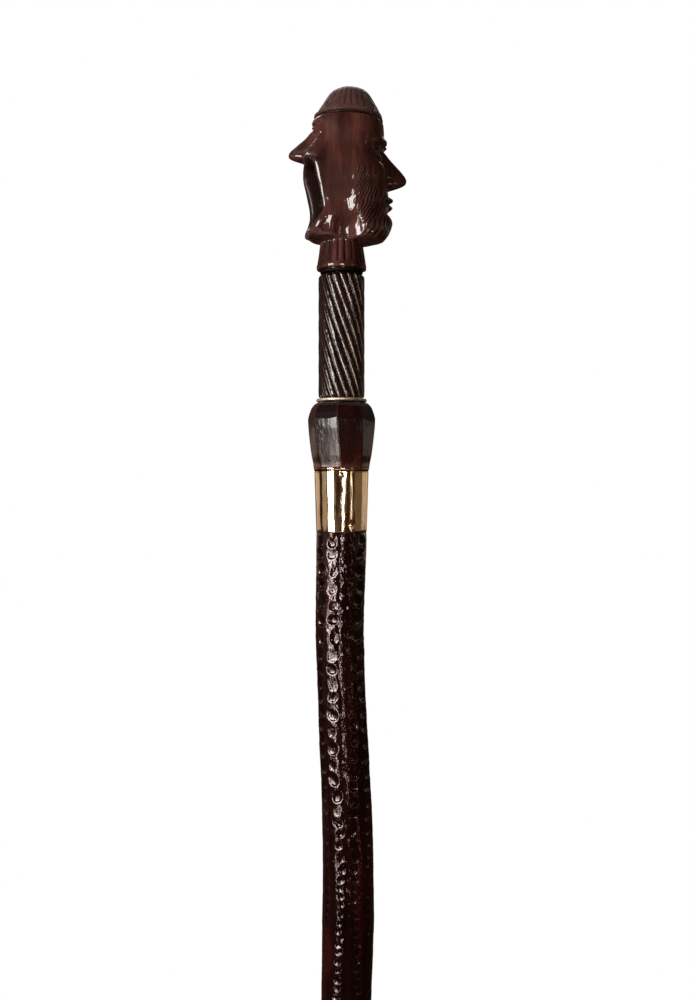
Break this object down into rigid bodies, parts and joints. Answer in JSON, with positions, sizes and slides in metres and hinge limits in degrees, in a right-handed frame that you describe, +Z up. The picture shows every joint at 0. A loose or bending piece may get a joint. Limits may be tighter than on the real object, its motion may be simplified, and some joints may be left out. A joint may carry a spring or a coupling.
{
  "type": "nutcracker walking cane",
  "caption": "Carved wooden cane whose two-faced head turns on a screw and presses a nut in its open mouth.",
  "frame": {"origin": "centre of the heel's flat bottom face, where the cane meets the ground", "axes": "+Z up the cane, towards the head; +X towards the closed-mouth face, -X towards the nut cavity; -Y is the side that the picture shows"},
  "size_m": [0.058, 0.0344, 0.9],
  "materials": {
    "carved_mahogany": "glossy varnish",
    "ebonised_wood": "glossy varnish, worn on the ridges",
    "knop_wood": "glossy varnish",
    "stick_wood": "glossy burgundy lacquer",
    "collar_brass": "polished",
    "inner_brass": "turned",
    "screw_steel": "turned, oiled",
    "heel_steel": "worn",
    "horn": "dull"
  },
  "bodies": {
    "cane": {"stick": "stick_wood", "heel": "heel_steel", "ferrule": "collar_brass", "ferrule_pin_left": "collar_brass", "ferrule_pin_right": "collar_brass", "collar": "collar_brass", "collar_pin_upper": "collar_brass", "collar_pin_lower": "collar_brass", "knop": "knop_wood", "core_rod": "screw_steel", "spacer_ring": "collar_brass", "twist_grip": "ebonised_wood", "screw_pin": "screw_steel", "seat_washer": "horn", "press_screw": "screw_steel", "pad_rivet": "screw_steel"},
    "pad": {"thrust_pad": "screw_steel"},
    "head": {"carved_head": "carved_mahogany", "thread_bush": "inner_brass", "bush_pin_left": "inner_brass", "bush_pin_right": "inner_brass"}
  },
  "joints": [
    {"name": "head_turn", "type": "hinge", "parent": "cane", "child": "pad", "pos_m": [0, 0, 0.8488], "axis": [0, 0, 1], "range_deg": [0, 1800]},
    {"name": "head_travel", "type": "slide", "parent": "pad", "child": "head", "axis": [0, 0, 1], "range_m": [0, 0.0201]}
  ],
  "couplings": [
    {"joint": "head_travel", "follows": "head_turn", "m_per_rad": 0.00063662}
  ]
}
